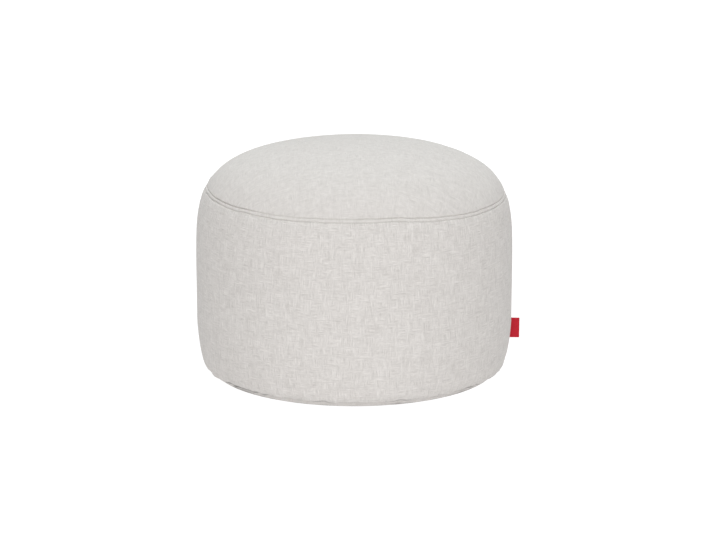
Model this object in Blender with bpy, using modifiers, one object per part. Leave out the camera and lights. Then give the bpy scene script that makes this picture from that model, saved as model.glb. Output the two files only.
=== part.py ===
"""An outdoor pouf: a round, firmly filled seat with a crowned top.

It is sewn from three panels of one cloth. The round top panel laps over the side panel with two rows
of topstitching, the side panel is a strip closed to a ring, and the round base panel rolls up to a
plain seam. A folded label is sewn into the side panel's closing seam.

Metres, +Z up. The origin is on the floor under the middle of the pouf, and the label is near +X.
"""

import math

import bmesh
import bpy
import numpy as np
from mathutils import Matrix, Vector

# The whole form: the widest ring is low on the side, and the crown runs down to it in one sweep
HEIGHT = 0.3665
WIDEST_RADIUS = 0.2495
WIDEST_HEIGHT = 0.080
TOP_SEAM_HEIGHT = 0.287
BASE_SEAM_HEIGHT = 0.0065
BASE_SEAM_RADIUS = 0.227

# Both sweeps are superellipses: 2 is a plain ellipse, and more is fuller
CROWN_FULLNESS = 2.15
SIDE_FULLNESS = 6.8
TUCK_FULLNESS = 3.5
TUCK_START = 1.2

# Cloth and seams
CLOTH = 0.002
GAP = 0.0003
ROW_SPACING = 0.0064
SEAM_PINCH = 0.0012
SEAM_PINCH_REACH = 0.016

# The cloth at the top seam: distance down from the upper row of stitches, height over the pinched form
PANEL_SEAM_RELIEF = (
    (-0.0120, 0.0000),
    (-0.0050, 0.0005),
    (-0.0014, 0.0002),
    (0.0000, -0.0010),
    (0.0012, 0.0006),
    (0.0032, 0.0011),
    (0.0052, 0.0006),
    (0.0059, -0.0006),
)
SIDE_SEAM_RELIEF = (
    (0.0072, -0.0006),
    (0.0090, 0.0003),
    (0.0125, 0.0005),
    (0.0190, 0.0000),
)

# Rings on the underside of the cloth at the top seam: distance down from the upper row of stitches
SEAM_UNDERSIDE = (-0.012, -0.004, 0.0, 0.003)

# The cloth above the base seam: distance up from the seam, height over the smooth form
BASE_SEAM_RELIEF = (
    (0.0400, 0.0000),
    (0.0280, 0.0000),
    (0.0190, 0.0000),
    (0.0120, 0.0002),
    (0.0050, 0.0005),
    (0.0012, -0.0002),
)

# The base panel's edge: distance past the seam, depth under the smooth form
BASE_EDGE = 0.0008
BASE_EDGE_DEPTH = 0.0005

# Unevenness of the sewn cloth
SEAM_TILT = 0.023
SEAM_WAVER = 0.0010
OUT_OF_ROUND = 0.0005
PUCKER = 0.0011
PUCKER_TOP = 0.016
FLAT_BASE_TO = 0.003
PUCKERS_FULL_BY = 0.006
OUT_OF_ROUND_BY = 0.023

# The closing seam of the side panel, and the label sewn into it
CLOSING_SEAM_ANGLE = math.radians(-3.75)
DITCH_RADIUS = 0.002
DITCH_RISE = 0.0002
DITCH_OVERRUN = 0.005
DITCH_POINTS = 22
LABEL_BOTTOM = 0.052
LABEL_TOP = 0.084
LABEL_REACH = 0.0135
LABEL_ROOT = 0.0007
LABEL_CLOTH = 0.001
LABEL_FOLD_GAP = 0.0004
LABEL_FOLD_STEPS = 8

# Facets
SEGMENTS = 96
DOME_RINGS = 9
SIDE_RINGS = 8
RIM_RINGS = 3
SHARP_FROM = math.radians(50)

# Materials: colour, roughness
COVER_COLOUR = (0.70, 0.68, 0.65, 1.0)
COVER_ROUGHNESS = 0.95
LABEL_COLOUR = (0.55, 0.01, 0.03, 1.0)
LABEL_ROUGHNESS = 0.75


def clear_scene():
    for old in list(bpy.data.objects):
        bpy.data.objects.remove(old, do_unlink=True)


def new_collection(name):
    made = bpy.data.collections.new(name)
    bpy.context.scene.collection.children.link(made)
    return made


def new_material(name, colour, roughness):
    made = bpy.data.materials.new(name)
    made.use_nodes = True
    made.diffuse_color = colour
    shader = made.node_tree.nodes["Principled BSDF"]
    shader.inputs["Base Color"].default_value = colour
    shader.inputs["Roughness"].default_value = roughness
    shader.inputs["Metallic"].default_value = 0.0
    return made


def sweep(radius, height, across, up, steps):
    """Points on a quarter of a superellipse, from its widest place to its far end."""
    points = []
    for u in np.linspace(0.0, math.pi / 2, steps):
        reach = max(math.cos(u), 0.0) ** (2 / across)
        rise = max(math.sin(u), 0.0) ** (2 / up)
        points.append((radius * reach, height * rise))
    return points


def form_line():
    """The smooth form's half section as (radius, height), from the crown down to the middle of the base."""
    crown = sweep(WIDEST_RADIUS, HEIGHT - WIDEST_HEIGHT, CROWN_FULLNESS, SIDE_FULLNESS, 600)
    line = [(radius, WIDEST_HEIGHT + rise) for radius, rise in crown[::-1]]
    tuck_in = WIDEST_RADIUS - BASE_SEAM_RADIUS
    tuck = sweep(tuck_in, WIDEST_HEIGHT - BASE_SEAM_HEIGHT, TUCK_FULLNESS, TUCK_START, 200)
    line += [(BASE_SEAM_RADIUS + radius, WIDEST_HEIGHT - fall) for radius, fall in tuck[1:]]
    rim = sweep(BASE_SEAM_HEIGHT, BASE_SEAM_HEIGHT, 2.0, 2.0, 30)
    flat_radius = BASE_SEAM_RADIUS - BASE_SEAM_HEIGHT
    line += [(flat_radius + radius, BASE_SEAM_HEIGHT - fall) for radius, fall in rim[1:]]
    line[0] = (0.0, HEIGHT)
    line.append((0.0, 0.0))
    return np.array(line)


class Form:
    """The smooth form, walked by the distance down its half section from the top seam."""

    def __init__(self):
        self.line = form_line()
        steps = np.diff(self.line, axis=0)
        lengths = np.hypot(*steps.T)
        walked = np.concatenate([[0.0], np.cumsum(lengths)])
        self.along = walked - np.interp(-TOP_SEAM_HEIGHT, -self.line[:, 1], walked)
        self.ways = np.gradient(self.line, self.along, axis=0)
        self.ways /= np.hypot(*self.ways.T)[:, None]
        self.top_middle = float(self.along[0])
        self.base_middle = float(self.along[-1])
        self.base_flat = float(self.along[-2])
        self.base_seam = self.at_height(BASE_SEAM_HEIGHT)

    def at_height(self, height):
        """The distance at which the form has this height."""
        return float(np.interp(-height, -self.line[:, 1], self.along))

    def at(self, along, proud=0.0):
        """The point at this distance, moved out from the form by proud."""
        radius, height = (np.interp(along, self.along, column) for column in self.line.T)
        run, fall = (np.interp(along, self.along, column) for column in self.ways.T)
        if along in (self.top_middle, self.base_middle):
            return (0.0, float(height + proud * (1 if along < 0 else -1)))
        return (float(radius - fall * proud), float(height + run * proud))

    def place(self, radius, height):
        """The distance along the form and the height over it of a point near it."""
        off = np.array([radius, height]) - self.line
        nearest = int(np.argmin((off**2).sum(axis=1)))
        run, fall = self.ways[nearest]
        out, up = off[nearest]
        return float(self.along[nearest] + out * run + up * fall), float(up * run - out * fall)


def pinch(along):
    """How far the cloth is drawn in round the top seam."""
    share = min(abs(along - ROW_SPACING / 2) / SEAM_PINCH_REACH, 1.0)
    return SEAM_PINCH * 0.5 * (1 + math.cos(math.pi * share))


def slide(form, along, angle, x):
    """How far the sewn cloth lies down the form here: the top seam is lower on the +X side, and wavers."""
    extent = form.top_middle if along < 0 else form.base_seam
    share = max(1 - (along / extent) ** 2, 0.0) ** 2
    waver = 0.7 * math.cos(4 * angle) - 0.3 * math.sin(7 * angle + 1.0)
    return share * (SEAM_TILT * x - SEAM_WAVER * waver)


def fade_in(height, full):
    """0 up to where the base is flat, and 1 from the height given as full."""
    return min(max(height - FLAT_BASE_TO, 0.0) / (full - FLAT_BASE_TO), 1.0)


def settled(form, point):
    """Where a point of the turned form lies once the pouf is sewn: the top seam slides, the side is
    a little out of round, and the cloth puckers at the base seam. The base stays flat."""
    x, y, z = point
    radius = math.hypot(x, y)
    if radius < 1e-6 or z < FLAT_BASE_TO:
        return Vector(point)
    angle = math.atan2(y, x)
    along, proud = form.place(radius, z)
    if along < form.base_seam:
        radius_there, z = form.at(along + slide(form, along, angle, x), proud)
    else:
        radius_there = radius
    lobes = 0.6 * math.sin(2 * angle + 1.0) + 0.4 * math.sin(3 * angle - 0.8)
    swell = OUT_OF_ROUND * fade_in(z, OUT_OF_ROUND_BY) * lobes
    near_seam = fade_in(z, PUCKERS_FULL_BY) * max(1.0 - z / PUCKER_TOP, 0.0)
    ripple = 0.45 * math.sin(13 * angle) + 0.35 * math.sin(22 * angle + 1.3) + 0.2 * math.sin(31 * angle)
    swell += PUCKER * near_seam * ripple
    grown = (radius_there + swell * min(radius / BASE_SEAM_RADIUS, 1.0)) / radius
    return Vector((x * grown, y * grown, z))


def evaluated_mesh(obj):
    """The object's mesh with its modifiers applied. The object itself is removed."""
    graph = bpy.context.evaluated_depsgraph_get()
    mesh = bpy.data.meshes.new_from_object(obj.evaluated_get(graph))
    bpy.data.objects.remove(obj, do_unlink=True)
    return mesh


def add_object(name, mesh, material, collection):
    mesh.name = name
    mesh.materials.clear()
    mesh.materials.append(material)
    mesh.shade_smooth()
    mesh.set_sharp_from_angle(angle=SHARP_FROM)
    made = bpy.data.objects.new(name, mesh)
    collection.objects.link(made)
    return made


def turned_solid(form, name, section, material, collection):
    """A solid turned from a section that starts and ends on the axis, then settled as the cloth is sewn."""
    profile = bpy.data.meshes.new(name + "_section")
    edges = [(i, i + 1) for i in range(len(section) - 1)]
    profile.from_pydata([(radius, 0.0, height) for radius, height in section], edges, [])
    blank = bpy.data.objects.new(name + "_section", profile)
    collection.objects.link(blank)
    turn = blank.modifiers.new("Turn", "SCREW")
    turn.axis = "Z"
    turn.steps = SEGMENTS
    turn.render_steps = SEGMENTS
    turn.use_merge_vertices = True
    turn.merge_threshold = 0.0001
    mesh = evaluated_mesh(blank)
    bpy.data.meshes.remove(profile)
    for vertex in mesh.vertices:
        vertex.co = settled(form, vertex.co)
    return add_object(name, mesh, material, collection)


def dome_walk(form):
    """Distances at which the crown has a ring, from its middle to just above the top seam."""
    first_relief = PANEL_SEAM_RELIEF[0][0]
    shares = np.linspace(0.0, 1.0, DOME_RINGS + 1)[:-1]
    return [form.top_middle * (1 - share) + first_relief * share for share in shares]


def relief(form, rows):
    return [form.at(along, proud - pinch(along)) for along, proud in rows]


def under_cloth(form, walk, depth):
    """Points under the cloth, at this depth below the pinched form."""
    return [form.at(along, -depth - pinch(along)) for along in walk]


def under_panel_walk(form):
    """Distances of the rings under the top panel, shared by its inner face and the filled body."""
    return dome_walk(form) + list(SEAM_UNDERSIDE)


def top_panel_section(form):
    outer = [form.at(along) for along in dome_walk(form)] + relief(form, PANEL_SEAM_RELIEF)
    edge = PANEL_SEAM_RELIEF[-1][0]
    inner = under_cloth(form, under_panel_walk(form) + [edge], CLOTH)
    return outer + inner[::-1]


def rim_walk(form):
    """Distances round the base panel's rim, from the base seam to where the base is flat."""
    return list(np.linspace(form.base_seam, form.base_flat, RIM_RINGS + 1))


def side_panel_section(form):
    """The filled body: under the top panel, down the side, and over the base panel."""
    depth = CLOTH + GAP
    section = under_cloth(form, under_panel_walk(form) + [ROW_SPACING], depth)
    section += relief(form, SIDE_SEAM_RELIEF)
    start = SIDE_SEAM_RELIEF[-1][0]
    end = form.base_seam - BASE_SEAM_RELIEF[0][0]
    for share in np.linspace(0.0, 1.0, SIDE_RINGS + 1)[1:-1]:
        section.append(form.at(start * (1 - share) + end * share))
    section += [form.at(form.base_seam - up, proud) for up, proud in BASE_SEAM_RELIEF]
    section += [form.at(along, -depth) for along in rim_walk(form)]
    section.append((0.0, depth))
    return section


def base_panel_section(form):
    rim = rim_walk(form)
    edge = form.base_seam + BASE_EDGE
    inner = [(0.0, CLOTH)] + [form.at(along, -CLOTH) for along in [edge, *rim[1:]][::-1]]
    outer = [form.at(edge, -BASE_EDGE_DEPTH)] + [form.at(along) for along in rim[1:]] + [(0.0, 0.0)]
    return inner + outer


def seam_point(form, along, proud=0.0):
    """A point on the line of the closing seam."""
    radius, height = form.at(along, proud)
    x = radius * math.cos(CLOSING_SEAM_ANGLE)
    y = radius * math.sin(CLOSING_SEAM_ANGLE)
    return settled(form, (x, y, height))


def closing_seam_cutter(form, collection):
    """A round bar that follows the side from the top seam to the base seam, half sunk in it."""
    path = bpy.data.curves.new("closing_seam_cutter", "CURVE")
    path.dimensions = "3D"
    path.bevel_depth = DITCH_RADIUS
    path.bevel_resolution = 2
    path.use_fill_caps = True
    walk = np.linspace(-DITCH_OVERRUN, form.base_seam + DITCH_OVERRUN, DITCH_POINTS)
    points = [seam_point(form, along, DITCH_RISE) for along in walk]
    spline = path.splines.new("POLY")
    spline.points.add(len(points) - 1)
    for spline_point, place in zip(spline.points, points):
        spline_point.co = (*place, 1.0)
    bar = bpy.data.objects.new("closing_seam_bar", path)
    collection.objects.link(bar)
    mesh = evaluated_mesh(bar)
    bpy.data.curves.remove(path)
    return mesh


def welded_object(name, mesh, collection):
    """The mesh with a curve's loose caps welded on, as an object that isn't rendered."""
    work = bmesh.new()
    work.from_mesh(mesh)
    bmesh.ops.remove_doubles(work, verts=work.verts, dist=0.00001)
    bmesh.ops.recalc_face_normals(work, faces=work.faces)
    work.to_mesh(mesh)
    work.free()
    made = bpy.data.objects.new(name, mesh)
    collection.objects.link(made)
    made.hide_render = True
    made.display_type = "WIRE"
    return made


def cut(target, cutter):
    boolean = target.modifiers.new("Closing seam", "BOOLEAN")
    boolean.operation = "DIFFERENCE"
    boolean.solver = "EXACT"
    boolean.object = cutter


def half_circle(centre, radius, steps, turn):
    """Points round the outer end of the label's fold. turn is 1 from -Y to +Y, and -1 back again."""
    points = []
    for step in range(steps + 1):
        angle = turn * (step / steps - 0.5) * math.pi
        points.append((centre + radius * math.cos(angle), radius * math.sin(angle)))
    return points


def label_outline():
    """The folded strip seen from above, its ends at the root and its fold at the outer end."""
    outer = LABEL_CLOTH + LABEL_FOLD_GAP / 2
    inner = LABEL_FOLD_GAP / 2
    centre = LABEL_REACH - outer
    outside = half_circle(centre, outer, LABEL_FOLD_STEPS, 1)
    inside = half_circle(centre, inner, LABEL_FOLD_STEPS // 2, -1)
    ends = [(-LABEL_ROOT, side) for side in (-outer, outer, inner, -inner)]
    return [ends[0], *outside, ends[1], ends[2], *inside, ends[3]]


def label_object(form, material, collection):
    """The label stands out of the closing seam and follows the slope of the side there."""
    shape = bpy.data.curves.new("label", "CURVE")
    shape.dimensions = "2D"
    shape.fill_mode = "BOTH"
    points = label_outline()
    spline = shape.splines.new("POLY")
    spline.use_cyclic_u = True
    spline.points.add(len(points) - 1)
    for spline_point, (x, y) in zip(spline.points, points):
        spline_point.co = (x, y, 0.0, 1.0)
    low, high = (seam_point(form, form.at_height(z)) for z in (LABEL_BOTTOM, LABEL_TOP))
    shape.extrude = (high - low).length / 2
    shape.materials.append(material)
    up = (high - low).normalized()
    out = Vector((math.cos(CLOSING_SEAM_ANGLE), math.sin(CLOSING_SEAM_ANGLE), 0.0))
    out = (out - up * out.dot(up)).normalized()
    axes = Matrix((out, up.cross(out), up)).transposed().to_4x4()
    made = bpy.data.objects.new("label", shape)
    made.matrix_world = Matrix.Translation((low + high) / 2) @ axes
    collection.objects.link(made)
    return made


def build():
    clear_scene()
    pieces = new_collection("outdoor_pouf")
    cutters = new_collection("cutters")
    cover = new_material("cover_cloth", COVER_COLOUR, COVER_ROUGHNESS)
    red = new_material("label_cloth", LABEL_COLOUR, LABEL_ROUGHNESS)
    form = Form()
    side = turned_solid(form, "side_panel", side_panel_section(form), cover, pieces)
    turned_solid(form, "top_panel", top_panel_section(form), cover, pieces)
    turned_solid(form, "base_panel", base_panel_section(form), cover, pieces)
    bar = welded_object("closing_seam_cutter", closing_seam_cutter(form, cutters), cutters)
    cut(side, bar)
    label_object(form, red, pieces)


build()
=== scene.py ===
"""The looks of the outdoor pouf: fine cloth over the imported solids, its seams and stitches, and the studio.

Metres, +Z up. The origin is on the floor under the middle of the pouf. The camera looks along +Y.
Distances along the form start at the top seam and grow downward.
Tables give angles round the pouf in degrees.
"""

import math

import bpy
import numpy as np
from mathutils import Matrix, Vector

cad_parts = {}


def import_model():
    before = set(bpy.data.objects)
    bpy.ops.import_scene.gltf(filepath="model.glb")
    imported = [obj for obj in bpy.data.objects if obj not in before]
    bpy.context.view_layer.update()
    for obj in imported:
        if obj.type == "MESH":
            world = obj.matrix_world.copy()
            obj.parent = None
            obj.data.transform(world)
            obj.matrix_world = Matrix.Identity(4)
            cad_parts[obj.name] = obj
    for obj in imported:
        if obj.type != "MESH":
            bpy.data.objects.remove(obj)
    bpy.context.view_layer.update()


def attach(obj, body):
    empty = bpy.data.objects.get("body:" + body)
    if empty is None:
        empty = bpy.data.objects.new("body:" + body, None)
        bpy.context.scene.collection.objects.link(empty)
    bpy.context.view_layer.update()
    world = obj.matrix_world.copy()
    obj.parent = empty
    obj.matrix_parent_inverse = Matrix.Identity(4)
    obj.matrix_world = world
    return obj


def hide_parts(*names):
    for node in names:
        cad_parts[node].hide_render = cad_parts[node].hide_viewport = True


TURN = 2 * math.pi

# The whole form, as in the solids
HEIGHT = 0.3665
WIDEST_RADIUS = 0.2495
WIDEST_HEIGHT = 0.080
TOP_SEAM_HEIGHT = 0.287
BASE_SEAM_HEIGHT = 0.0065
BASE_SEAM_RADIUS = 0.227
CROWN_FULLNESS = 2.15
SIDE_FULLNESS = 6.8
TUCK_FULLNESS = 3.5
TUCK_START = 1.2
RIM_FULLNESS = 2.0
CROWN_POINTS = 1200
TUCK_POINTS = 400
RIM_POINTS = 60

# The cloth, and how far it is drawn in round the top seam
CLOTH = 0.002
GAP = 0.0003
SEAM_PINCH = 0.0012
SEAM_PINCH_REACH = 0.016

# The two rows of the top seam, and the top panel's edge, which stops just short of the lower row
ROW_SPACING = 0.0055
LAP_SHORT = 0.0003
LAP_EDGE = ROW_SPACING - LAP_SHORT
EDGE_POINTS = 6
EDGE_BULGE = 0.6
EDGE_DROP = 0.0006

# The two grooves of the top seam, and the raised band between them
GROOVE_WIDTH = 0.00066
GROOVE_DEPTH = 0.0010
GROOVE_UNEVEN = 0.5
BAND_WIDTH = 0.0021
BAND_HEIGHT = 0.0009
BAND_FLATNESS = 4

# Cloth that swells out beside the top seam: how high, how soon, and over what distance it eases back
UPPER_SWELL = (0.0005, 0.0010, 0.010)
LOWER_SWELL = (0.0010, 0.0013, 0.010)

# How deep each groove is drawn: angle, upper row, lower row
SEAM_DEPTHS = (
    (-180, 0.80, 0.70),
    (-160, 1.45, 1.00),
    (-151, 1.45, 0.90),
    (-142, 1.30, 0.58),
    (-134, 1.50, 0.46),
    (-128, 0.80, 0.54),
    (-124, 0.10, 0.60),
    (-117, 0.02, 0.50),
    (-107, 0.30, 0.40),
    (-97, 0.35, 0.14),
    (-86, 0.60, 0.08),
    (-75, 0.80, 0.08),
    (-64, 0.65, 0.18),
    (-53, 0.90, 0.26),
    (-43, 0.80, 0.46),
    (-31, 0.82, 0.58),
    (20, 0.60, 0.60),
    (80, 0.80, 0.40),
    (130, 0.50, 0.70),
    (180, 0.80, 0.70),
)

# Where the top seam strays from an even course: angle, half width in degrees, how far down
SEAM_TILT = 0.023
SEAM_WAVER = 0.0010
SEAM_SHIVER = 0.0004
SEAM_SHIFTS = (
    (-172, 16, -0.0052),
    (-152, 7, -0.0012),
    (-117, 11, 0.0024),
    (-100, 8, 0.0008),
    (-75.5, 6, -0.0018),
    (-31, 8, -0.0013),
    (-8, 16, -0.0045),
)

# The base seam: how far up the form it is sewn, its slot, and the lips beside it as place, width and height
BASE_SEAM_UP = 0.0085
SLOT_DEPTH = 0.0022
SLOT_WIDTH = 0.0006
DEEPEST_SLOT = 0.0050
SHEET_SLOT = 0.0018
SHEET_SHARE = 0.95
BASE_RELIEF_REACH = 0.006
ABOVE_BASE_LIP = (0.0024, 0.0017, 0.00070)
BELOW_BASE_LIP = (-0.0030, 0.0014, 0.00010)

# How far both panels are drawn in along the base seam
BASE_DRAW = 0.0010
BASE_DRAW_REACH = 0.006

# Where the base seam strays: angle, half width in degrees, how far down
BASE_SHIFT_REACH = 0.010
BASE_SHIFTS = (
    (-139, 8, -0.0028),
    (-73, 4.5, -0.0016),
    (-58, 3.0, 0.0008),
    (-41, 7, -0.0018),
    (-28, 5, -0.0020),
)

# Puckers at the base seam: angle, half width in degrees, depth
BASE_PUCKERS = (
    (-152, 1.6, 0.0006),
    (-143.5, 2.2, 0.0016),
    (-138, 2.0, 0.0010),
    (-133.5, 2.6, 0.0009),
    (-128, 1.3, 0.0016),
    (-123.5, 1.6, 0.0014),
    (-112.5, 2.4, 0.0010),
    (-108.3, 1.3, 0.0009),
    (-101.5, 1.8, 0.0015),
    (-90, 2.6, 0.0007),
    (-81, 2.0, 0.0004),
    (-73, 1.6, 0.0014),
    (-67.5, 1.5, 0.0010),
    (-57.3, 1.6, 0.0015),
    (-49, 2.0, 0.0009),
    (-43.5, 2.2, 0.0014),
    (-38, 1.4, 0.0012),
    (-28, 1.5, 0.0010),
    (-19, 1.6, 0.0005),
)
PUCKER_REACH = 0.011

# Beside each pucker the cloth stands out: its share of the depth, its place and its width in half widths
BESIDE_SHARE = 0.45
BESIDE_PLACE = 2.1
BESIDE_WIDTH = 1.3

# How much wider than a pucker its pull on the base seam is, and how much deeper and wider it draws the slot
PULL_WIDTH = 1.2
PUCKER_DRAW = 2.0
PUCKER_SPREAD = 0.4

# Puckers round the back: how many, from where to where, how far they stray, half widths and depths
REAR_PUCKERS = 26
REAR_SPAN = (-8, 196)
REAR_STRAY = 2.5
REAR_WIDTHS = (1.4, 2.8)
REAR_DEPTHS = (0.0004, 0.0014)
REAR_CHANCE = 7

# Shade painted into the cloth's colour: along the line of the base seam, softly round it, and a painted
# contact shadow where the cloth nears the floor
LINE_SHADE_WIDTH = 0.0019
LINE_SHADE_UP = 0.0006
THINNEST_LINE = 0.7
WIDER_WHEN_DARK = 0.8
SOFT_SHADE = 0.05
SOFT_SHADE_UP = 0.002
SOFT_SHADE_REACH = 0.010
CONTACT_SHADE = 0.18
CONTACT_PUCKER_SHADE = 0.30
CONTACT_FROM = 0.0120
CONTACT_OVER = 0.002
FULL_PUCKER = 0.0015
DARKEST_SHADE = 0.9

# How dark the painted shadow in the line of the base seam is: angle, share
SEAM_GAP_PAINTED_SHADE = (
    (-180, 0.08),
    (-152, 0.06),
    (-148, 0.26),
    (-144, 0.85),
    (-140, 0.85),
    (-135, 0.72),
    (-129, 0.75),
    (-124, 0.66),
    (-118, 0.20),
    (-112, 0.28),
    (-106, 0.26),
    (-103, 0.68),
    (-100, 0.68),
    (-97, 0.16),
    (-91, 0.26),
    (-84, 0.14),
    (-77, 0.20),
    (-74, 0.52),
    (-71, 0.46),
    (-67, 0.28),
    (-61, 0.18),
    (-58, 0.70),
    (-54, 0.16),
    (-48, 0.44),
    (-42, 0.64),
    (-38, 0.50),
    (-34, 0.14),
    (-27, 0.34),
    (-18, 0.08),
    (30, 0.16),
    (60, 0.30),
    (95, 0.12),
    (130, 0.34),
    (180, 0.08),
)

# Unevenness of the whole cover, and the heights above the floor over which it and the puckers begin
OUT_OF_ROUND = 0.0005
FLAT_BASE_TO = 0.003
PUCKERS_FULL_BY = 0.006
OUT_OF_ROUND_BY = 0.023

# Waves round the pouf: weight, how many, start in radians
SEAM_WAVES = ((0.7, 4, math.pi / 2), (-0.3, 7, 1.0))
OUT_OF_ROUND_WAVES = ((0.6, 2, 1.0), (0.4, 3, -0.8))
RIPPLE_WAVES = ((0.5, 41, 0.4), (0.3, 67, 2.0), (0.2, 97, 4.1))
RIPPLE_SWELL_WAVES = ((0.4, 5, 1.0),)
RIPPLE_SWELL = 0.6

# Finer waves of three kinds with the same weight: how many of each, and where they start
SHIVER_COUNTS = (23, 37, 59)
UPPER_GROOVE_COUNTS = (61, 97, 143)
LOWER_GROOVE_COUNTS = (71, 103, 157)
WOBBLE_STARTS = (1.0, 2.6, 4.4)

# Ripples beside the top seam: place, width and height
RIPPLES_BELOW = (0.014, 0.009, 0.00022)
RIPPLES_ABOVE = (-0.008, 0.007, 0.00012)

# The closing seam of the side panel, with the swell beside it, and where it starts and fades out
CLOSING_SEAM_ANGLE = math.radians(-3.75)
CLOSING_SEAM_WIDTH = 0.0012
CLOSING_SEAM_DEPTH = 0.0016
CLOSING_SWELL = 0.00035
CLOSING_SWELL_OFF = 0.0035
CLOSING_SWELL_WIDTH = 0.002
CLOSING_FROM = 0.002
CLOSING_FADE = 0.004

# The label sewn into the closing seam
LABEL_BOTTOM = 0.052
LABEL_TOP = 0.084
LABEL_REACH = 0.0135
LABEL_ROOT = 0.0007
LABEL_CLOTH = 0.001
LABEL_FOLD_GAP = 0.0004
LABEL_BOW = 0.0009
LABEL_BOW_START = 0.3
LABEL_BOW_TURN = 2.4
LABEL_ROWS = 25
LABEL_POINTS = 9
LABEL_FOLD_POINTS = 13
LABEL_INNER_FOLD_POINTS = 7
LABEL_SIDES_APART = 0.03
LABEL_CREASE = math.radians(50)

# Topstitching
STITCH = 0.0040
STITCH_SHARE = 0.78
STITCH_DIP = 0.9
STITCH_TAPER = 0.45
STITCH_RINGS = 5
STITCH_SIDES = 6
THREAD = 0.0005

# Cloth simulation of the filled cover, and what is kept of its unevenness
SIM_STEP = 0.0095
SIM_CROWN_RING = 0.03
SIM_RIM_STEP = 0.008
SIM_SEGMENTS = 132
SIM_HELD_NEAR = 0.001
SIM_QUALITY = 6
SIM_MASS = 0.3
SIM_STIFFNESS = 40.0
SIM_SHEAR = 20.0
SIM_BENDING = 1.0
SIM_FRAMES = 20
SIM_PRESSURE = 4.0
SIM_SPARE = 0.015
SIM_KEPT = 0.6
SIM_LIMIT = 0.0009

# Facets of the fine cloth round the pouf, with finer ones on both sides of the closing seam
SEGMENTS = 480
SEAM_STEP = 0.0005
SEAM_STEPS = 9

# A short way off the form, for finding which way is outward
OUTWARD = 0.01

# Rings of the fine cloth, as stretches along the form: where each one ends, and its step
ONE_RING = 1.0
TOP_STRETCHES = ((-0.05, 0.0042), (-0.014, 0.003), (-0.0032, 0.0009), (LAP_EDGE, 0.0003))
TOP_UNDER_STRETCHES = ((-0.03, 0.015), (LAP_EDGE - 0.0004, 0.003))
SIDE_FROM = ROW_SPACING - 0.0001
SIDE_HIDDEN_STRETCHES = ((-0.03, 0.02), (SIDE_FROM - 0.0012, 0.004))
SIDE_STRETCHES = ((0.0105, 0.0004), (0.020, 0.0011), (0.045, 0.0022))

# The same near the base seam, with distances from it, and the steps on the rim and on the flat middle
SIDE_END_STRETCHES = ((-0.03, 0.0042), (-0.008, 0.0018), (-0.0024, 0.0006), (-0.0002, 0.0002))
UNDER_FROM = 0.0004
UNDER_STEPS = (0.003, 0.04)
BASE_INNER_FROM = 0.0012
BASE_INNER_STEPS = (0.002, 0.04)
BASE_FROM = 0.0002
BASE_STRETCHES = ((0.0024, 0.0002), (0.006, 0.0006))
BASE_STEPS = (0.0012, 0.02)

# Camera, from the photo's viewing angle
CAMERA_DISTANCE = 3.0
CAMERA_RISE = math.radians(12.75)
CAMERA_TARGET = 0.17
CAMERA_SEES_TO = 200.0
LENS = 95.06
SENSOR = 36.0
SHIFT_X = 0.0053
SHIFT_Y = -0.0106

# Cloth: colours, finish, and how high its yarns and their crossings stand
CLOTH_DARK = (0.492, 0.462, 0.441)
CLOTH_LIGHT = (0.773, 0.743, 0.718)
CLOTH_ROUGHNESS = 0.92
CLOTH_SHEEN = 0.08
CLOTH_BUMP = (0.35, 0.00010)
CROSSING_RISE = 0.5
YARN_RISE = 1.5

# The yarns' pitch, and where neighbouring pairs and each kind of unevenness lie in the noise
YARN_PITCH = 0.0007
WARP_APART = 7.31
WEFT_APART = 5.77
PATCH_LAYER = 1.0
TURNS_LAYER = 2.0
WEFT_LAYER = 3.0
PATCH_SCALE = 45.0
UNEVEN_ROUGHNESS = 0.6

# How short the slubs are, how often and how sharply they turn crosswise, and what each unevenness weighs
SIDE_LOOK = {
    "slub": 58.0,
    "turns": 85.0,
    "apart": 7.0,
    "crosswise": 0.42,
    "slubs": 1.2,
    "yarns": 0.5,
    "flecks": 0.45,
    "fleck_scale": 420.0,
    "patches": 0.15,
}
ROUND_LOOK = {
    "slub": 60.0,
    "turns": 60.0,
    "apart": 4.0,
    "crosswise": 0.5,
    "slubs": 0.7,
    "yarns": 0.2,
    "flecks": 0.5,
    "fleck_scale": 150.0,
    "patches": 0.2,
}

# Thread
THREAD_DARK = (0.52, 0.495, 0.465)
THREAD_LIGHT = (0.68, 0.655, 0.625)
THREAD_ROUGHNESS = 0.85
THREAD_SHEEN = 0.1
THREAD_GRAIN = 700.0
THREAD_BUMP = (0.3, 0.0001)

# Red ribbon, with ribs across it
RIBBON_DARK = (0.36, 0.002, 0.010)
RIBBON_LIGHT = (0.62, 0.008, 0.030)
RIBBON_ROUGHNESS = 0.6
RIBBON_SHEEN = 0.15
RIBBON_GRAIN = (600.0, 1800.0)
RIBBON_BUMP = (0.4, 0.0002)
RIB_PITCH = 0.0009
RIB_WEIGHT = 0.15

# Finish that all the cloths share, and the colour that painted shade turns them to
SPECULAR = 0.2
SHEEN_ROUGHNESS = 0.5
BLACK = (0.0, 0.0, 0.0)

# Studio: name, azimuth, rise, spread, strength, colour
AMBIENT = 0.03
FLOOR_SHADE = 0.15
FLOOR_GLOW = 0.97
FLOOR_REACH = 40.0
LIGHT_DISTANCE = 5.0
LIGHTS = (
    ("low_front_light", 0, 20, 40, 0.49, (1.0, 1.0, 1.0)),
    ("high_front_light", 1.5, 50, 60, 1.93, (0.99, 1.0, 1.0)),
    ("high_back_light", 180, 60, 90, 2.18, (0.93, 0.98, 0.99)),
)


def sweep(radius, height, across, up, steps):
    """Points on a quarter of a superellipse, from its widest place to its far end."""
    points = []
    for u in np.linspace(0.0, math.pi / 2, steps):
        reach = max(math.cos(u), 0.0) ** (2 / across)
        rise = max(math.sin(u), 0.0) ** (2 / up)
        points.append((radius * reach, height * rise))
    return points


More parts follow.
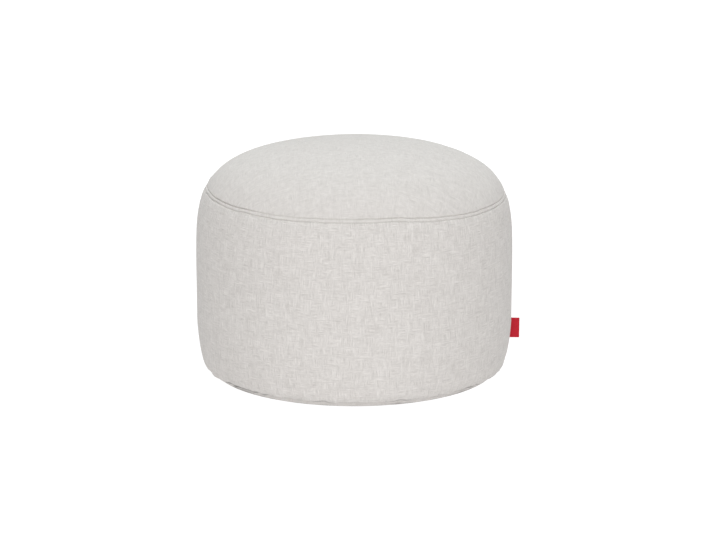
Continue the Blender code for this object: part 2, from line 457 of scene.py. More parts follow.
def form_line():
    """The smooth form's half section as (radius, height), from the crown down to the middle of the base."""
    crown = sweep(WIDEST_RADIUS, HEIGHT - WIDEST_HEIGHT, CROWN_FULLNESS, SIDE_FULLNESS, CROWN_POINTS)
    line = [(radius, WIDEST_HEIGHT + rise) for radius, rise in crown[::-1]]
    tuck_in = WIDEST_RADIUS - BASE_SEAM_RADIUS
    tuck = sweep(tuck_in, WIDEST_HEIGHT - BASE_SEAM_HEIGHT, TUCK_FULLNESS, TUCK_START, TUCK_POINTS)
    line += [(BASE_SEAM_RADIUS + radius, WIDEST_HEIGHT - fall) for radius, fall in tuck[1:]]
    rim = sweep(BASE_SEAM_HEIGHT, BASE_SEAM_HEIGHT, RIM_FULLNESS, RIM_FULLNESS, RIM_POINTS)
    flat_radius = BASE_SEAM_RADIUS - BASE_SEAM_HEIGHT
    line += [(flat_radius + radius, BASE_SEAM_HEIGHT - fall) for radius, fall in rim[1:]]
    line[0] = (0.0, HEIGHT)
    line.append((0.0, 0.0))
    return np.array(line)


class Form:
    """The smooth form, walked by the distance down its half section from the top seam."""

    def __init__(self):
        self.line = form_line()
        steps = np.diff(self.line, axis=0)
        walked = np.concatenate([[0.0], np.cumsum(np.hypot(*steps.T))])
        self.along = walked - np.interp(-TOP_SEAM_HEIGHT, -self.line[:, 1], walked)
        self.ways = np.gradient(self.line, self.along, axis=0)
        self.ways /= np.hypot(*self.ways.T)[:, None]
        self.top_middle = float(self.along[0])
        self.base_middle = float(self.along[-1])
        self.base_flat = float(self.along[-2])
        self.base_seam = self.at_height(BASE_SEAM_HEIGHT) - BASE_SEAM_UP
        self.settled = None

    def at_height(self, height):
        return float(np.interp(-height, -self.line[:, 1], self.along))

    def at(self, along):
        """Radius, height, and the way outward from the form, at these distances."""
        radius = np.interp(along, self.along, self.line[:, 0])
        height = np.interp(along, self.along, self.line[:, 1])
        run = np.interp(along, self.along, self.ways[:, 0])
        fall = np.interp(along, self.along, self.ways[:, 1])
        return radius, height, -fall, run


def settled_at(form, along, angle):
    """How far the filling pushes the cloth out or lets it in here, from the simulation's grid."""
    if form.settled is None:
        return 0.0
    rings, grid = form.settled
    count = grid.shape[1]
    row = np.interp(along, rings, np.arange(len(rings)))
    low = np.minimum(row.astype(int), len(rings) - 2)
    down = row - low
    spot = (angle % TURN) * count / TURN
    left = spot.astype(int) % count
    across = spot - spot.astype(int)
    right = (left + 1) % count
    upper = grid[low, left] * (1 - across) + grid[low, right] * across
    lower = grid[low + 1, left] * (1 - across) + grid[low + 1, right] * across
    return upper * (1 - down) + lower * down


def bell(distance, width):
    return np.exp(-((distance / width) ** 2))


def ridge(row, along):
    """A smooth ridge along a seam, from a row of place, width and height."""
    place, width, height = row
    return height * bell(along - place, width)


def turn_from(angle, middle):
    """The signed turn from middle to angle, in radians."""
    return (angle - middle + math.pi) % TURN - math.pi


def from_table(rows, angle):
    """A table's values at these angles, as one array for each column after the first."""
    table = np.array(rows)
    degrees = np.degrees(turn_from(angle, 0.0))
    return [np.interp(degrees, table[:, 0], column) for column in table.T[1:]]


def bumps(rows, angle, spread=1.0):
    """The sum of smooth bumps round the pouf, from rows of angle, half width and height."""
    total = 0.0
    for middle, width, height in rows:
        turn = turn_from(angle, math.radians(middle))
        total = total + height * bell(turn, spread * math.radians(width))
    return total


def waves(rows, angle):
    """The sum of waves round the pouf, from rows of weight, count and start."""
    total = 0.0
    for weight, count, start in rows:
        total = total + weight * np.sin(count * angle + start)
    return total


def wobble(counts, angle):
    """An uneven wave round the pouf, between -1 and 1."""
    total = 0.0
    for count, start in zip(counts, WOBBLE_STARTS):
        total = total + np.sin(count * angle + start)
    return total / 3


def slide(form, along, angle, x):
    """How far the sewn cloth lies down the form here: the top seam is lower on the +X side, and wavers."""
    extent = np.where(along < 0, form.top_middle, form.base_seam)
    along = np.minimum(along, form.base_seam)
    share = np.maximum(1 - (along / extent) ** 2, 0.0) ** 2
    down = SEAM_TILT * x - SEAM_WAVER * waves(SEAM_WAVES, angle)
    down = down + SEAM_SHIVER * wobble(SHIVER_COUNTS, angle) + bumps(SEAM_SHIFTS, angle)
    return share * down + bumps(BASE_SHIFTS, angle) * bell(along - form.base_seam, BASE_SHIFT_REACH)


def swell_from(row, away):
    """Height of the cloth that swells out beside a row of stitches and eases back."""
    height, soon, over = row
    away = np.maximum(away, 0.0)
    return height * (1 - bell(away, soon)) * bell(away, over)


def pinch(along):
    """How far the cloth is drawn in round the top seam."""
    share = np.minimum(np.abs(along - ROW_SPACING / 2) / SEAM_PINCH_REACH, 1.0)
    return SEAM_PINCH * 0.5 * (1 + np.cos(math.pi * share))


def top_seam_relief(along, angle):
    """Height of the sewn cloth over the smooth form round the top seam."""
    upper, lower = from_table(SEAM_DEPTHS, angle)
    upper = upper * (1 + GROOVE_UNEVEN * wobble(UPPER_GROOVE_COUNTS, angle))
    lower = lower * (1 + GROOVE_UNEVEN * wobble(LOWER_GROOVE_COUNTS, angle))
    grooves = upper * bell(along, GROOVE_WIDTH) + lower * bell(along - ROW_SPACING, GROOVE_WIDTH)
    band = np.exp(-(((along - ROW_SPACING / 2) / BAND_WIDTH) ** BAND_FLATNESS))
    swells = swell_from(UPPER_SWELL, -along) + swell_from(LOWER_SWELL, along - ROW_SPACING)
    return BAND_HEIGHT * band - GROOVE_DEPTH * grooves + swells - pinch(along)


def seam_ripples(along, angle):
    """Faint ripples in the cloth on both sides of the top seam, where the stitches draw it in."""
    swell = RIPPLE_SWELL + waves(RIPPLE_SWELL_WAVES, angle)
    height = ridge(RIPPLES_BELOW, along) * swell + ridge(RIPPLES_ABOVE, along)
    return height * waves(RIPPLE_WAVES, angle)


def all_puckers():
    """The puckers that the photo shows in front, and like ones round the back."""
    chance = np.random.default_rng(REAR_CHANCE)
    rows = list(BASE_PUCKERS)
    for spot in np.linspace(*REAR_SPAN, REAR_PUCKERS):
        middle = spot + chance.uniform(-REAR_STRAY, REAR_STRAY)
        rows.append((middle, chance.uniform(*REAR_WIDTHS), chance.uniform(*REAR_DEPTHS)))
    return rows


PUCKERS = all_puckers()


def puckers(form, along, angle):
    """How far the cloth is drawn in at the base seam."""
    total = 0.0
    for middle, width, depth in PUCKERS:
        turn = turn_from(angle, math.radians(middle))
        half = math.radians(width)
        beside = bell(turn - BESIDE_PLACE * half, BESIDE_WIDTH * half)
        total = total + depth * (bell(turn, half) - BESIDE_SHARE * beside)
    return total * bell(along - form.base_seam, PUCKER_REACH)


def base_slot(form, along, angle, deepest):
    """Depth of the slot at the base seam, which the puckers draw deeper and wider."""
    pull = bumps(PUCKERS, angle, PULL_WIDTH)
    depth = np.minimum(SLOT_DEPTH + PUCKER_DRAW * pull, deepest)
    return -depth * bell(along - form.base_seam, SLOT_WIDTH + PUCKER_SPREAD * pull)


def seam_shade(form, along, angle):
    """How much painted shade darkens the cloth's colour in and near the base seam, from 0 to 1: a shadow line
    in the seam, soft shade round it, and a contact shadow near the floor.
    """
    off = along - form.base_seam
    dark = from_table(SEAM_GAP_PAINTED_SHADE, angle)[0]
    width = LINE_SHADE_WIDTH * (THINNEST_LINE + WIDER_WHEN_DARK * dark)
    line = dark * bell(off + LINE_SHADE_UP, width)
    soft = SOFT_SHADE * bell(off + SOFT_SHADE_UP, SOFT_SHADE_REACH)
    pull = bumps(PUCKERS, angle, PULL_WIDTH)
    # A painted contact shadow on the rim near the floor, darker at the puckers
    contact = CONTACT_SHADE + CONTACT_PUCKER_SHADE * pull / FULL_PUCKER
    contact = contact * np.clip((off - CONTACT_FROM) / CONTACT_OVER, 0.0, 1.0)
    return np.minimum(line + soft + contact, DARKEST_SHADE)


def closing_groove(form, along, angle):
    """Depth of the plain seam that closes the side panel to a ring."""
    off = turn_from(angle, CLOSING_SEAM_ANGLE) * WIDEST_RADIUS
    groove = -CLOSING_SEAM_DEPTH * bell(off, CLOSING_SEAM_WIDTH)
    beside = bell(off - CLOSING_SWELL_OFF, CLOSING_SWELL_WIDTH)
    beside = beside + bell(off + CLOSING_SWELL_OFF, CLOSING_SWELL_WIDTH)
    inside = (along > CLOSING_FROM) * np.clip((form.base_seam - along) / CLOSING_FADE, 0.0, 1.0)
    return (groove + CLOSING_SWELL * beside) * inside


def fade_in(height, full):
    """0 where the cloth rests on the floor, and 1 from the full height up."""
    return np.clip((height - FLAT_BASE_TO) / (full - FLAT_BASE_TO), 0.0, 1.0)


def lie(form, along, proud, angle):
    """Points of the sewn cloth: distance down the form, height over it and angle round it, as arrays."""
    along, proud, angle = np.broadcast_arrays(along, proud, angle)
    x = form.at(along)[0] * np.cos(angle)
    radius, height, out, up = form.at(along + slide(form, along, angle, x))
    radius = radius + out * proud
    height = height + up * proud
    share = np.minimum(radius / BASE_SEAM_RADIUS, 1.0)
    lobes = waves(OUT_OF_ROUND_WAVES, angle)
    swell = OUT_OF_ROUND * fade_in(height, OUT_OF_ROUND_BY) * lobes * share
    drawn_in = puckers(form, along, angle) + BASE_DRAW * bell(along - form.base_seam, BASE_DRAW_REACH)
    swell = swell - drawn_in * fade_in(height, PUCKERS_FULL_BY)
    swell = swell + seam_ripples(along, angle) + settled_at(form, along, angle)
    radius = radius + swell * out
    height = height + swell * up
    return np.stack([radius * np.cos(angle), radius * np.sin(angle), height], axis=-1)


def added(name, data):
    """A new object in the scene."""
    made = bpy.data.objects.new(name, data)
    bpy.context.scene.collection.objects.link(made)
    return made


def grid_object(name, points, uv, material, shade=None):
    """A closed turned mesh. points is rings x segments x 3, and its first and last rings are on the axis."""
    rings, count = points.shape[:2]
    vertices = np.vstack([points[0].mean(axis=0), points[1:-1].reshape(-1, 3), points[-1].mean(axis=0)])
    last = len(vertices) - 1
    first_of_last = last - count
    faces = []
    coords = []
    for k in range(count):
        after = (k + 1) % count
        faces.append((0, 1 + k, 1 + after))
        coords += [uv[0, k], uv[1, k], uv[1, k + 1]]
    for ring in range(1, rings - 2):
        upper = 1 + (ring - 1) * count
        lower = upper + count
        for k in range(count):
            after = (k + 1) % count
            faces.append((upper + k, lower + k, lower + after, upper + after))
            coords += [uv[ring, k], uv[ring + 1, k], uv[ring + 1, k + 1], uv[ring, k + 1]]
    for k in range(count):
        after = (k + 1) % count
        faces.append((first_of_last + k, last, first_of_last + after))
        coords += [uv[rings - 2, k], uv[rings - 1, k], uv[rings - 2, k + 1]]
    mesh = bpy.data.meshes.new(name)
    mesh.from_pydata(vertices.tolist(), [], faces)
    layer = mesh.uv_layers.new(name="cloth")
    layer.data.foreach_set("uv", np.array(coords, dtype=np.float32).ravel())
    # The painted shade that the cloth's material darkens its colour by
    if shade is not None:
        values = np.concatenate([shade[0, :1], shade[1:-1].ravel(), shade[-1, :1]])
        mesh.attributes.new("shade", "FLOAT", "POINT").data.foreach_set("value", values.astype(np.float32))
    if material is not None:
        mesh.materials.append(material)
    mesh.shade_smooth()
    return added(name, mesh)


def walk(start, stretches):
    """Distances from start down the form, by stretches that each give where they end and their step."""
    whole = np.array([start])
    for end, step in stretches:
        count = max(int(round((end - start) / step)), 1)
        whole = np.concatenate([whole, np.linspace(start, end, count + 1)[1:]])
        start = end
    return whole


def from_base_seam(form, stretches):
    """Stretches whose ends are given from the base seam."""
    return [(form.base_seam + end, step) for end, step in stretches]


def to_base_middle(form, steps):
    """The stretches of the base: its rim, and its flat middle."""
    return list(zip((form.base_flat, form.base_middle), steps))


def angles_round(count):
    return np.linspace(0.0, TURN, count + 1)[:-1]


def angles_with_seam():
    """Angles round the side, closer together at the closing seam."""
    step = SEAM_STEP / WIDEST_RADIUS
    fine = CLOSING_SEAM_ANGLE + np.arange(-SEAM_STEPS, SEAM_STEPS + 1) * step
    fine = np.concatenate([fine[SEAM_STEPS:], fine[:SEAM_STEPS] + TURN])
    plain = CLOSING_SEAM_ANGLE + angles_round(SEGMENTS)
    clear = (SEAM_STEPS + 0.5) * step
    far = (plain > CLOSING_SEAM_ANGLE + clear) & (plain < CLOSING_SEAM_ANGLE + TURN - clear)
    return np.sort(np.concatenate([plain[far], fine]))


def polar_uv(distance, angle):
    """The flat round panel's own coordinates, in metres."""
    wrapped = np.append(angle, angle[0] + TURN)
    u = distance[:, None] * np.cos(wrapped)
    v = distance[:, None] * np.sin(wrapped)
    return np.stack([u, v], axis=-1)


def flat_rows(values, angle):
    """One value for each ring, the same all the way round."""
    return np.repeat(values[:, None], len(angle), axis=1)


def top_cover(form, material):
    """The round top panel: a crowned sheet whose edge laps over the side panel."""
    angle = angles_round(SEGMENTS)
    start = form.top_middle
    outer = walk(start, TOP_STRETCHES)
    outer_proud = top_seam_relief(outer[:, None], angle[None, :])
    turn = np.linspace(0.0, math.pi, EDGE_POINTS)[1:-1, None]
    edge = LAP_EDGE + LAP_SHORT * EDGE_BULGE * np.sin(turn[:, 0])
    edge_proud = outer_proud[-1:] - EDGE_DROP * (1 - np.cos(turn))
    inner = walk(start, TOP_UNDER_STRETCHES)[::-1]
    inner_proud = flat_rows(-CLOTH - pinch(inner), angle)
    along = np.concatenate([outer, edge, inner])
    proud = np.concatenate([outer_proud, edge_proud, inner_proud])
    points = lie(form, along[:, None], proud, angle[None, :])
    return grid_object("top_cover", points, polar_uv(along - start, angle), material)


def side_cover(form, material):
    """The filled body, with the side panel's cloth where it shows."""
    angle = angles_with_seam()
    depth = CLOTH + GAP
    hidden = walk(form.top_middle, SIDE_HIDDEN_STRETCHES)
    hidden_proud = -depth - pinch(hidden)
    seen = walk(SIDE_FROM, [*SIDE_STRETCHES, *from_base_seam(form, SIDE_END_STRETCHES)])
    seen_proud = top_seam_relief(seen[:, None], angle[None, :])
    seen_proud += base_slot(form, seen[:, None], angle[None, :], DEEPEST_SLOT)
    seen_proud += ridge(ABOVE_BASE_LIP, form.base_seam - seen)[:, None]
    under = walk(form.base_seam + UNDER_FROM, to_base_middle(form, UNDER_STEPS))
    under_proud = np.full(len(under), -depth)
    along = np.concatenate([hidden, seen, under])
    proud = np.concatenate([flat_rows(hidden_proud, angle), seen_proud, flat_rows(under_proud, angle)])
    groove = closing_groove(form, along[:, None], angle[None, :])
    points = lie(form, along[:, None], proud + groove, angle[None, :])
    turned = np.append(angle, angle[0] + TURN) - CLOSING_SEAM_ANGLE
    u, v = np.broadcast_arrays(turned[None, :] * WIDEST_RADIUS, along[:, None])
    # Painted shade along the base seam and a painted contact shadow near the floor
    shade = seam_shade(form, along[:, None], angle[None, :])
    return grid_object("side_cover", points, np.stack([u, v], axis=-1), material, shade)


def base_cover(form, material):
    """The round base panel: flat where it stands, with a rim that rolls up to the base seam."""
    angle = angles_round(SEGMENTS)
    inner = walk(form.base_seam + BASE_INNER_FROM, to_base_middle(form, BASE_INNER_STEPS))[::-1]
    inner_proud = flat_rows(np.full(len(inner), -CLOTH), angle)
    stretches = from_base_seam(form, BASE_STRETCHES) + to_base_middle(form, BASE_STEPS)
    outer = walk(form.base_seam + BASE_FROM, stretches)
    outer_proud = base_slot(form, outer[:, None], angle[None, :], SHEET_SLOT)
    outer_proud += ridge(BELOW_BASE_LIP, form.base_seam - outer)[:, None]
    near_seam = outer < form.base_seam + BASE_RELIEF_REACH
    outer_proud = np.maximum(outer_proud, -CLOTH * SHEET_SHARE) * near_seam[:, None]
    along = np.concatenate([inner, outer])
    proud = np.concatenate([inner_proud, outer_proud])
    points = lie(form, along[:, None], proud, angle[None, :])
    points[..., 2] = np.maximum(points[..., 2], 0.0)
    # Painted shade along the base seam and a painted contact shadow near the floor
    shade = seam_shade(form, along[:, None], angle[None, :])
    return grid_object("base_cover", points, polar_uv(form.base_middle - along, angle), material, shade)


def coarse_cover(form, rings, points):
    """A coarse cover for the simulation: held at its seams and below, and pressed out by its filling."""
    blank = np.zeros((len(rings), SIM_SEGMENTS + 1, 2))
    made = grid_object("simulated_cover", points, blank, None)
    held = made.vertex_groups.new(name="held")
    for ring in range(1, len(rings) - 1):
        sewn = -SIM_HELD_NEAR < rings[ring] < ROW_SPACING + SIM_HELD_NEAR
        if sewn or rings[ring] > form.base_seam - SIM_HELD_NEAR:
            first = 1 + (ring - 1) * SIM_SEGMENTS
            held.add(list(range(first, first + SIM_SEGMENTS)), 1.0, "REPLACE")
    held.add([len(made.data.vertices) - 1], 1.0, "REPLACE")
    cloth = made.modifiers.new("cloth", "CLOTH")
    cloth.settings.quality = SIM_QUALITY
    cloth.settings.mass = SIM_MASS
    cloth.settings.tension_stiffness = SIM_STIFFNESS
    cloth.settings.compression_stiffness = SIM_STIFFNESS
    cloth.settings.shear_stiffness = SIM_SHEAR
    cloth.settings.bending_stiffness = SIM_BENDING
    cloth.settings.use_pressure = True
    cloth.settings.uniform_pressure_force = SIM_PRESSURE
    cloth.settings.shrink_min = -SIM_SPARE
    cloth.settings.vertex_group_mass = "held"
    cloth.settings.effector_weights.gravity = 0.0
    cloth.collision_settings.use_collision = False
    cloth.point_cache.frame_start = 1
    cloth.point_cache.frame_end = SIM_FRAMES
    return made


def blown_points(made):
    """Where a coarse cover's points end after the simulation. The cover itself is taken away."""
    scene = bpy.context.scene
    for frame in range(1, SIM_FRAMES + 1):
        scene.frame_set(frame)
    blown = made.evaluated_get(bpy.context.evaluated_depsgraph_get()).data
    points = np.empty(len(blown.vertices) * 3)
    blown.vertices.foreach_get("co", points)
    scene.frame_set(1)
    mesh = made.data
    bpy.data.objects.remove(made)
    bpy.data.meshes.remove(mesh)
    return points.reshape(-1, 3)


def settle(form):
    """Simulates the cover as cloth blown out by its filling, and keeps its unevenness round the pouf."""
    below_crown = form.top_middle + SIM_CROWN_RING
    rings = walk(form.top_middle, [(below_crown, ONE_RING), (0.0, SIM_STEP), (ROW_SPACING, ONE_RING),
                                   (form.base_seam, SIM_STEP), (form.base_flat, SIM_RIM_STEP),
                                   (form.base_middle, ONE_RING)])
    angle = angles_round(SIM_SEGMENTS)
    start = lie(form, rings[:, None], 0.0, angle[None, :])
    moved = blown_points(coarse_cover(form, rings, start))
    moved = moved[1:-1].reshape(len(rings) - 2, SIM_SEGMENTS, 3)
    way = lie(form, rings[:, None], OUTWARD, angle[None, :]) - start
    way /= np.linalg.norm(way, axis=2)[..., None]
    out = ((moved - start[1:-1]) * way[1:-1]).sum(axis=2)
    uneven = out - out.mean(axis=1)[:, None]
    uneven = (np.roll(uneven, 1, axis=1) + 2 * uneven + np.roll(uneven, -1, axis=1)) / 4
    grid = np.zeros((len(rings), SIM_SEGMENTS))
    grid[1:-1] = np.clip(uneven * SIM_KEPT, -SIM_LIMIT, SIM_LIMIT)
    form.settled = (rings, grid)


def tube_faces(start, rings, sides):
    """Faces of a tube whose points come ring by ring, closed at both ends."""
    faces = []
    for ring in range(rings - 1):
        for side in range(sides):
            a = start + ring * sides + side
            b = start + ring * sides + (side + 1) % sides
            faces.append((a, b, b + sides, a + sides))
    faces.append(tuple(start + side for side in range(sides))[::-1])
    faces.append(tuple(start + (rings - 1) * sides + side for side in range(sides)))
    return faces


def stitch_points(form, along, middle, half):
    """Points of one stitch, ring by ring: a short thread that dips into the cloth at both ends."""
    share = np.linspace(-1.0, 1.0, STITCH_RINGS)
    angle = middle + share * half
    along = np.full(STITCH_RINGS, along)
    proud = top_seam_relief(along, angle)
    dip = THREAD * STITCH_DIP * share**4
    centre = lie(form, along, proud + THREAD / 2 - dip, angle)
    out = lie(form, along, proud + OUTWARD, angle) - centre
    way = np.gradient(centre, axis=0)
    way /= np.linalg.norm(way, axis=1)[:, None]
    out -= (out * way).sum(axis=1)[:, None] * way
    out /= np.linalg.norm(out, axis=1)[:, None]
    side = np.cross(way, out)
    width = THREAD / 2 * (1 - STITCH_TAPER * share**4)
    turn = angles_round(STITCH_SIDES)[None, :, None]
    ring = np.cos(turn) * out[:, None, :] + np.sin(turn) * side[:, None, :]
    return (centre[:, None, :] + width[:, None, None] * ring).reshape(-1, 3)


def stitch_rows(form, material):
    """Two rows of topstitching. The stitches of the lower row lie between those of the upper one."""
    parts = []
    faces = []
    for row, along in enumerate((0.0, ROW_SPACING)):
        radius = float(form.at(along)[0])
        count = int(round(TURN * radius / STITCH))
        half = STITCH * STITCH_SHARE / 2 / radius
        for k in range(count):
            faces += tube_faces(len(parts) * STITCH_RINGS * STITCH_SIDES, STITCH_RINGS, STITCH_SIDES)
            parts.append(stitch_points(form, along, (k + 0.5 * row) * TURN / count, half))
    mesh = bpy.data.meshes.new("top_stitches")
    mesh.from_pydata(np.concatenate(parts).tolist(), [], faces)
    mesh.materials.append(material)
    mesh.shade_smooth()
    return added("top_stitches", mesh)


def label_outline():
    """The folded label seen from above: out on one face, round the fold and back, then the same inside."""
    outer = LABEL_CLOTH + LABEL_FOLD_GAP / 2
    inner = LABEL_FOLD_GAP / 2
    centre = LABEL_REACH - outer
    outline = [(-LABEL_ROOT, -outer)]
    for x in np.linspace(0.0, centre, LABEL_POINTS)[1:]:
        outline.append((x, -outer))
    for a in np.linspace(-math.pi / 2, math.pi / 2, LABEL_FOLD_POINTS)[1:]:
        outline.append((centre + outer * math.cos(a), outer * math.sin(a)))
    for x in np.linspace(centre, -LABEL_ROOT, LABEL_POINTS)[1:]:
        outline.append((x, outer))
    for x in np.linspace(-LABEL_ROOT, centre, LABEL_POINTS):
        outline.append((x, inner))
    for a in np.linspace(math.pi / 2, -math.pi / 2, LABEL_INNER_FOLD_POINTS)[1:]:
        outline.append((centre + inner * math.cos(a), inner * math.sin(a)))
    for x in np.linspace(centre, -LABEL_ROOT, LABEL_POINTS)[1:]:
        outline.append((x, -inner))
    return outline


def label_piece(form, material):
    """A folded ribbon that stands out of the closing seam, a little bent, and its mean reach from there."""
    outline = label_outline()
    out = Vector((math.cos(CLOSING_SEAM_ANGLE), math.sin(CLOSING_SEAM_ANGLE), 0.0))
    aside = Vector((-out.y, out.x, 0.0))
    length = LABEL_TOP - LABEL_BOTTOM
    shares = [row / (LABEL_ROWS - 1) for row in range(LABEL_ROWS)]
    roots = []
    for share in shares:
        along = form.at_height(LABEL_BOTTOM + length * share)
        roots.append(Vector(lie(form, along, 0.0, CLOSING_SEAM_ANGLE)))
    furthest = max(root.dot(out) for root in roots)
    vertices = []
    coords = []
    for share, root in zip(shares, roots):
        for x, y in outline:
            reached = max(x, 0.0) / LABEL_REACH
            bow = LABEL_BOW * reached**2 * math.sin(LABEL_BOW_TURN * share + LABEL_BOW_START)
            lean = (furthest - root.dot(out)) * reached
            vertices.append(tuple(root + out * (x + lean) + aside * (y + bow)))
            coords.append((x + (LABEL_SIDES_APART if y > 0 else 0.0), share * length))
    mesh = bpy.data.meshes.new("label_cloth_piece")
    mesh.from_pydata(vertices, [], tube_faces(0, LABEL_ROWS, len(outline)))
    layer = mesh.uv_layers.new(name="cloth")
    for corner in mesh.loops:
        layer.data[corner.index].uv = coords[corner.vertex_index]
    mesh.materials.append(material)
    mesh.shade_smooth()
    mesh.set_sharp_from_angle(angle=LABEL_CREASE)
    mean_reach = LABEL_REACH + furthest - sum(root.dot(out) for root in roots) / LABEL_ROWS
    return added("red_label", mesh), mean_reach


class Nodes:
    """Shorthand for making a material's nodes."""

    def __init__(self, material):
        self.tree = material.node_tree
        self.shader = self.tree.nodes["Principled BSDF"]

    def link(self, source, socket):
        """Links a socket to another node's output, or sets it to a number or a colour."""
        if isinstance(source, (int, float)):
            socket.default_value = source
        elif isinstance(source, tuple):
            socket.default_value = (*source, 1.0)
        else:
            self.tree.links.new(source, socket)

    def math(self, operation, *values):
        node = self.tree.nodes.new("ShaderNodeMath")
        node.operation = operation
        for socket, value in zip(node.inputs, values):
            self.link(value, socket)
        return node.outputs[0]

    def limited(self, value):
        """The value kept between 0 and 1."""
        return self.math("MINIMUM", self.math("MAXIMUM", value, 0.0), 1.0)

    def uv(self):
        node = self.tree.nodes.new("ShaderNodeUVMap")
        node.uv_map = "cloth"
        split = self.tree.nodes.new("ShaderNodeSeparateXYZ")
        self.tree.links.new(node.outputs[0], split.inputs[0])
        return split.outputs[0], split.outputs[1]

    def vector(self, x, y, z=0.0):
        node = self.tree.nodes.new("ShaderNodeCombineXYZ")
        for socket, value in zip(node.inputs, (x, y, z)):
            self.link(value, socket)
        return node.outputs[0]

    def noise(self, vector, scale, detail=2.0, rough=0.5):
        node = self.tree.nodes.new("ShaderNodeTexNoise")
        self.tree.links.new(vector, node.inputs["Vector"])
        node.inputs["Scale"].default_value = scale
        node.inputs["Detail"].default_value = detail
        node.inputs["Roughness"].default_value = rough
        return node.outputs[0]

    def blend(self, share, a, b):
        """A number between a and b."""
        node = self.tree.nodes.new("ShaderNodeMix")
        node.data_type = "FLOAT"
        for spot, value in ((0, share), (2, a), (3, b)):
            self.link(value, node.inputs[spot])
        return node.outputs[0]

    def colours(self, share, a, b):
        """A colour between a and b."""
        node = self.tree.nodes.new("ShaderNodeMix")
        node.data_type = "RGBA"
        for spot, value in ((0, share), (6, a), (7, b)):
            self.link(value, node.inputs[spot])
        return node.outputs[2]

    def attribute(self, name):
        node = self.tree.nodes.new("ShaderNodeAttribute")
        node.attribute_name = name
        return node.outputs["Fac"]

    def bump(self, height, strength, distance):
        node = self.tree.nodes.new("ShaderNodeBump")
        node.inputs["Strength"].default_value = strength
        node.inputs["Distance"].default_value = distance
        self.tree.links.new(height, node.inputs["Height"])
        self.tree.links.new(node.outputs[0], self.shader.inputs["Normal"])


def new_material(name, roughness, sheen):
    made = bpy.data.materials.new(name)
    made.use_nodes = True
    shader = made.node_tree.nodes["Principled BSDF"]
    shader.inputs["Roughness"].default_value = roughness
    shader.inputs["Specular IOR Level"].default_value = SPECULAR
    shader.inputs["Sheen Weight"].default_value = sheen
    shader.inputs["Sheen Roughness"].default_value = SHEEN_ROUGHNESS
    return made


def melange_cloth(name, look):
    """A plain weave of mixed light and darker yarns, whose slubs run along pairs of yarns."""
    made = new_material(name, CLOTH_ROUGHNESS, CLOTH_SHEEN)
    n = Nodes(made)
    u, v = n.uv()
    across = n.math("DIVIDE", u, YARN_PITCH)
    down = n.math("DIVIDE", v, YARN_PITCH)
    over = n.math("ADD", n.math("FLOOR", across), n.math("FLOOR", down))
    over = n.math("ABSOLUTE", n.math("MODULO", over, 2.0))
    warp = n.math("MULTIPLY", n.math("FLOOR", n.math("MULTIPLY", across, 0.5)), WARP_APART)
    weft = n.math("MULTIPLY", n.math("FLOOR", n.math("MULTIPLY", down, 0.5)), WEFT_APART)
    warp_place = n.vector(warp, n.math("MULTIPLY", v, look["slub"]))
    weft_place = n.vector(n.math("MULTIPLY", u, look["slub"]), weft, WEFT_LAYER)
    warp_slub = n.noise(warp_place, 1.0, rough=UNEVEN_ROUGHNESS)
    weft_slub = n.noise(weft_place, 1.0, rough=UNEVEN_ROUGHNESS)
    turns = n.noise(n.vector(u, v, TURNS_LAYER), look["turns"], 1.0)
    turns = n.math("MULTIPLY", n.math("SUBTRACT", turns, 0.5), look["apart"])
    turns = n.limited(n.math("ADD", turns, look["crosswise"]))
    yarns = n.blend(over, warp_slub, weft_slub)
    parts = {
        "slubs": n.blend(turns, warp_slub, weft_slub),
        "yarns": yarns,
        "flecks": n.noise(n.vector(u, v), look["fleck_scale"], rough=UNEVEN_ROUGHNESS),
        "patches": n.noise(n.vector(u, v, PATCH_LAYER), PATCH_SCALE),
    }
    share = 0.5
    for kind, part in parts.items():
        share = n.math("ADD", share, n.math("MULTIPLY", n.math("SUBTRACT", part, 0.5), look[kind]))
    colour = n.colours(n.limited(share), CLOTH_DARK, CLOTH_LIGHT)
    # Painted shade: the shade attribute darkens the cloth's colour towards black
    n.link(n.colours(n.attribute("shade"), colour, BLACK), n.shader.inputs["Base Color"])
    crossing = n.math("MULTIPLY", n.math("SINE", n.math("MULTIPLY", across, math.pi)),
                      n.math("SINE", n.math("MULTIPLY", down, math.pi)))
    height = n.math("ADD", n.math("MULTIPLY", crossing, CROSSING_RISE), over)
    height = n.math("ADD", height, n.math("MULTIPLY", yarns, YARN_RISE))
    n.bump(height, *CLOTH_BUMP)
    return made


def thread_cloth():
    made = new_material("thread", THREAD_ROUGHNESS, THREAD_SHEEN)
    n = Nodes(made)
    place = n.tree.nodes.new("ShaderNodeTexCoord").outputs["Object"]
    grain = n.noise(place, THREAD_GRAIN)
    n.link(n.colours(grain, THREAD_DARK, THREAD_LIGHT), n.shader.inputs["Base Color"])
    n.bump(grain, *THREAD_BUMP)
    return made


def ribbon_cloth():
    made = new_material("red_ribbon", RIBBON_ROUGHNESS, RIBBON_SHEEN)
    n = Nodes(made)
    u, v = n.uv()
    rib = n.math("SINE", n.math("MULTIPLY", v, TURN / RIB_PITCH))
    wide, fine = RIBBON_GRAIN
    grain = n.noise(n.vector(n.math("MULTIPLY", u, wide), n.math("MULTIPLY", v, fine)), 1.0)
    share = n.math("ADD", n.math("MULTIPLY", rib, RIB_WEIGHT), grain)
    n.link(n.colours(share, RIBBON_DARK, RIBBON_LIGHT), n.shader.inputs["Base Color"])
    n.bump(n.math("ADD", rib, grain), *RIBBON_BUMP)
    return made


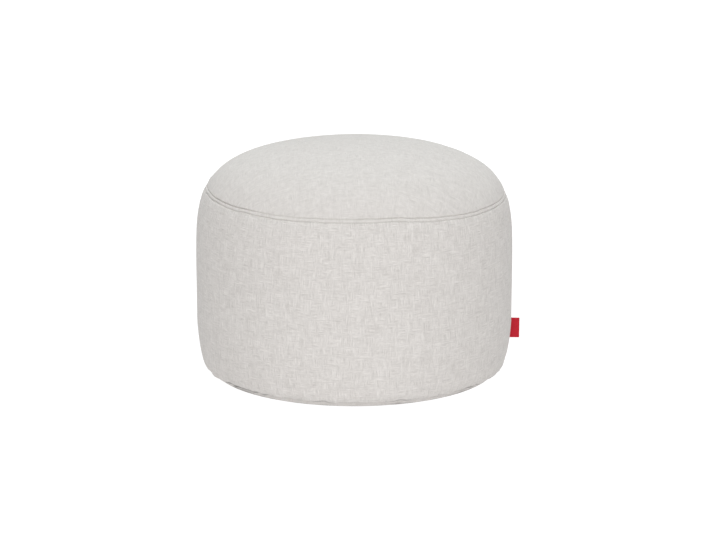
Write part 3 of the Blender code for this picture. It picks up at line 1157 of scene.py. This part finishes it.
def floor():
    """A plain white floor, wide enough to fill every view."""
    mesh = bpy.data.meshes.new("floor")
    corners = []
    for side, end in ((-1, -1), (1, -1), (1, 1), (-1, 1)):
        corners.append((side * FLOOR_REACH, end * FLOOR_REACH, -GAP))
    mesh.from_pydata(corners, [], [(0, 1, 2, 3)])
    white = bpy.data.materials.new("floor")
    white.use_nodes = True
    shader = white.node_tree.nodes["Principled BSDF"]
    shader.inputs["Base Color"].default_value = (FLOOR_SHADE, FLOOR_SHADE, FLOOR_SHADE, 1.0)
    shader.inputs["Roughness"].default_value = 1.0
    shader.inputs["Specular IOR Level"].default_value = 0.0
    shader.inputs["Emission Color"].default_value = (1.0, 1.0, 1.0, 1.0)
    shader.inputs["Emission Strength"].default_value = FLOOR_GLOW
    mesh.materials.append(white)
    added("floor", mesh)


def soft_light(name, azimuth, rise, spread, strength, colour):
    """A far, wide light. Azimuth 0 is in front of the pouf, and more is towards +X."""
    data = bpy.data.lights.new(name, "SUN")
    data.angle = math.radians(spread)
    data.energy = strength
    data.color = colour
    made = added(name, data)
    turn = math.radians(azimuth)
    lift = math.radians(rise)
    back = Vector((math.sin(turn) * math.cos(lift), -math.cos(turn) * math.cos(lift), math.sin(lift)))
    made.location = back * LIGHT_DISTANCE
    made.rotation_mode = "QUATERNION"
    made.rotation_quaternion = back.to_track_quat("Z", "Y")


def studio():
    world = bpy.data.worlds.new("studio")
    bpy.context.scene.world = world
    world.use_nodes = True
    back = world.node_tree.nodes["Background"]
    back.inputs["Color"].default_value = (1.0, 1.0, 1.0, 1.0)
    back.inputs["Strength"].default_value = AMBIENT
    for row in LIGHTS:
        soft_light(*row)
    bpy.context.scene.view_settings.view_transform = "Standard"


def camera():
    data = bpy.data.cameras.new("camera")
    data.lens = LENS
    data.sensor_width = SENSOR
    data.sensor_fit = "HORIZONTAL"
    data.shift_x = SHIFT_X
    data.shift_y = SHIFT_Y
    data.clip_end = CAMERA_SEES_TO
    made = added("camera", data)
    back = Vector((0.0, -math.cos(CAMERA_RISE), math.sin(CAMERA_RISE)))
    made.location = Vector((0.0, 0.0, CAMERA_TARGET)) + back * CAMERA_DISTANCE
    made.rotation_mode = "QUATERNION"
    made.rotation_quaternion = (-back).to_track_quat("-Z", "Y")
    bpy.context.scene.camera = made


def dress(piece, node):
    """Attaches a piece to the root body, and hides the solid that it stands for, if any."""
    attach(piece, "root")
    if node:
        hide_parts(node)


def main():
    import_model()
    form = Form()
    settle(form)
    side_cloth = melange_cloth("side_cloth", SIDE_LOOK)
    round_cloth = melange_cloth("round_panel_cloth", ROUND_LOOK)
    side = side_cover(form, side_cloth)
    top = top_cover(form, round_cloth)
    base = base_cover(form, round_cloth)
    stitches = stitch_rows(form, thread_cloth())
    label, label_reach = label_piece(form, ribbon_cloth())
    dress(side, "side_panel")
    dress(top, "top_panel")
    dress(base, "base_panel")
    dress(stitches, None)
    dress(label, "label")
    floor()
    studio()
    camera()


main()
